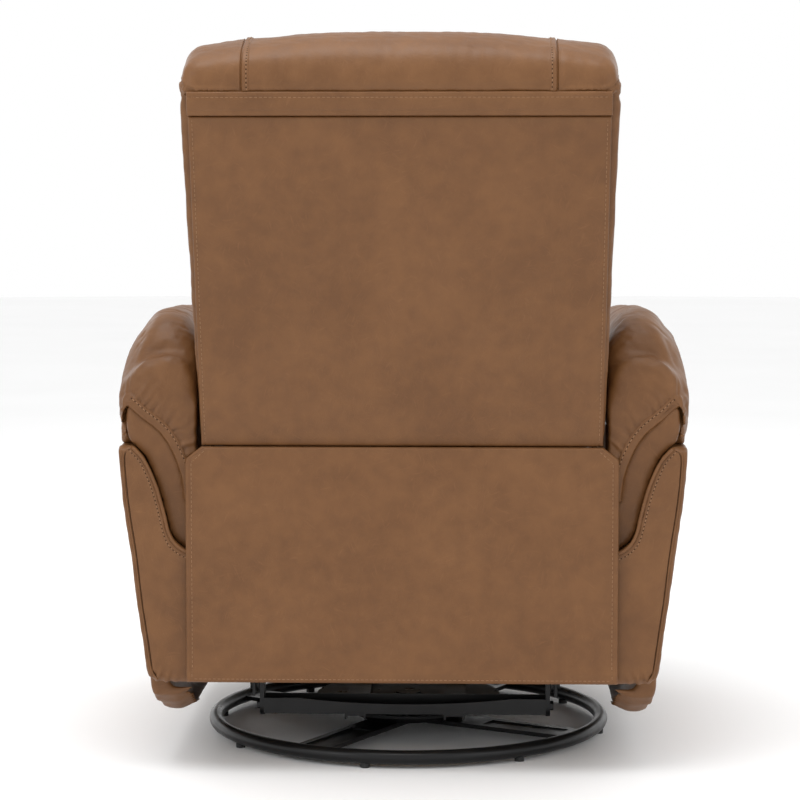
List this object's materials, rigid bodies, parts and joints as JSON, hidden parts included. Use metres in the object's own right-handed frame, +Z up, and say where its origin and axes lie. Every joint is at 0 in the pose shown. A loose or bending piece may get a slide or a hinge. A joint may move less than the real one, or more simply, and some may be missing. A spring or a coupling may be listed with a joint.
{
  "type": "swivel glider recliner",
  "caption": "Upholstered armchair that swivels on a steel ring base, glides on hanging links, reclines, and folds out a footrest.",
  "frame": {"origin": "on the floor, on the swivel axis", "axes": "+Z up, -Y the way the sitter faces, +X the sitter's left"},
  "size_m": [0.77, 0.8899, 0.9998],
  "materials": {
    "leather": "satin",
    "black_steel": "gloss",
    "bright_steel": "satin",
    "spring_steel": "satin",
    "wood": "matte",
    "black_plastic": "satin",
    "rubber": "matte"
  },
  "bodies": {
    "base": {"base_ring": "black_steel", "cross_bars": "black_steel", "base_feet": "rubber", "swivel_dish": "black_steel", "swivel_balls": "bright_steel", "swivel_ball_cage": "bright_steel", "swivel_pin": "black_steel"},
    "turntable": {"swivel_plate": "black_steel", "glider_rails": "black_steel", "cross_channels": "black_steel", "glider_uprights": "black_steel", "frame_bolts": "black_steel", "upper_glide_pins": "bright_steel"},
    "front_links": {"front_glide_links": "black_steel"},
    "rear_links": {"rear_glide_links": "black_steel"},
    "chair_frame": {"carriage_plates": "black_steel", "carriage_tubes": "black_steel", "seat_tracks": "black_steel", "release_cable": "black_plastic", "rear_rails": "wood", "skirt_board": "wood", "skirt_panel": "leather", "left_arm_frame": "wood", "left_arm_pad": "leather", "left_arm_rear_roll": "leather", "left_arm_rear_band": "leather", "left_arm_side_panel": "leather", "left_arm_front_panel": "leather", "left_arm_inner_panel": "leather", "right_arm_frame": "wood", "right_arm_pad": "leather", "right_arm_rear_roll": "leather", "right_arm_rear_band": "leather", "right_arm_side_panel": "leather", "right_arm_front_panel": "leather", "right_arm_inner_panel": "leather", "handle_bezel": "black_plastic"},
    "release": {"release_handle": "black_plastic"},
    "seat": {"seat_runners": "black_steel", "seat_frame": "wood", "seat_springs": "spring_steel", "seat_side_plates": "black_steel", "seat_cushion": "leather", "recline_pins": "bright_steel"},
    "back": {"back_brackets": "black_steel", "back_frame": "wood", "back_springs": "spring_steel", "back_panel": "leather", "header_band": "leather", "back_wings": "leather", "lumbar_cushion": "leather", "middle_cushion": "leather", "head_cushion": "leather"},
    "footrest_lift": {"lift_links": "black_steel"},
    "footrest_control": {"control_links": "black_steel"},
    "footrest_brace": {"board_links": "black_steel"},
    "footrest_arm": {"long_links": "black_steel"},
    "footrest": {"footrest_brackets": "black_steel", "footrest_board": "wood", "footrest_pad": "leather"}
  },
  "joints": [
    {"name": "swivel", "type": "hinge", "parent": "base", "child": "turntable", "pos_m": [0, 0, 0.03], "axis": [0, 0, 1], "continuous": true},
    {"name": "glide", "type": "hinge", "parent": "turntable", "child": "front_links", "pos_m": [0, -0.17, 0.205], "axis": [-1, 0, 0], "range_deg": [-22, 22]},
    {"name": "carriage_hang", "type": "hinge", "parent": "front_links", "child": "chair_frame", "pos_m": [0, -0.17, 0.095], "axis": [-1, 0, 0], "range_deg": [-22.5, 22.5]},
    {"name": "rear_link_swing", "type": "hinge", "parent": "turntable", "child": "rear_links", "pos_m": [0, 0.17, 0.205], "axis": [-1, 0, 0], "range_deg": [-22.5, 22.5]},
    {"name": "seat_travel", "type": "slide", "parent": "chair_frame", "child": "seat", "axis": [0, -1, 0], "range_m": [0, 0.061]},
    {"name": "recline", "type": "hinge", "parent": "seat", "child": "back", "pos_m": [0, 0.242, 0.43], "axis": [-1, 0, 0], "range_deg": [0, 35]},
    {"name": "footrest_lift", "type": "hinge", "parent": "seat", "child": "footrest_lift", "pos_m": [0, -0.33, 0.3], "axis": [-1, 0, 0], "range_deg": [0, 80]},
    {"name": "control_swing", "type": "hinge", "parent": "seat", "child": "footrest_control", "pos_m": [0, -0.39, 0.27], "axis": [-1, 0, 0], "range_deg": [0, 88.5]},
    {"name": "brace_swing", "type": "hinge", "parent": "footrest_lift", "child": "footrest_brace", "pos_m": [0, -0.35, 0.19], "axis": [-1, 0, 0], "range_deg": [-139, 0]},
    {"name": "arm_unfold", "type": "hinge", "parent": "footrest_lift", "child": "footrest_arm", "pos_m": [0, -0.33, 0.132], "axis": [-1, 0, 0], "range_deg": [-122, 0]},
    {"name": "board_turn", "type": "hinge", "parent": "footrest_arm", "child": "footrest", "pos_m": [0, -0.388, 0.296], "axis": [-1, 0, 0], "range_deg": [0, 137]},
    {"name": "release_pull", "type": "slide", "parent": "chair_frame", "child": "release", "axis": [0, 0, 1], "range_m": [0, 0.016], "stiffness_N_per_m": 300, "springref_m": -0.01}
  ],
  "couplings": [
    {"joint": "carriage_hang", "follows": "glide", "ratio": -1},
    {"joint": "rear_link_swing", "follows": "glide", "ratio": 1},
    {"joint": "seat_travel", "follows": "recline", "m_per_rad": 0.0982},
    {"joint": "control_swing", "follows": "footrest_lift", "ratio": 1.095},
    {"joint": "brace_swing", "follows": "footrest_lift", "ratio": -1.724},
    {"joint": "arm_unfold", "follows": "footrest_lift", "ratio": -1.5125},
    {"joint": "board_turn", "follows": "footrest_lift", "ratio": 1.7}
  ]
}
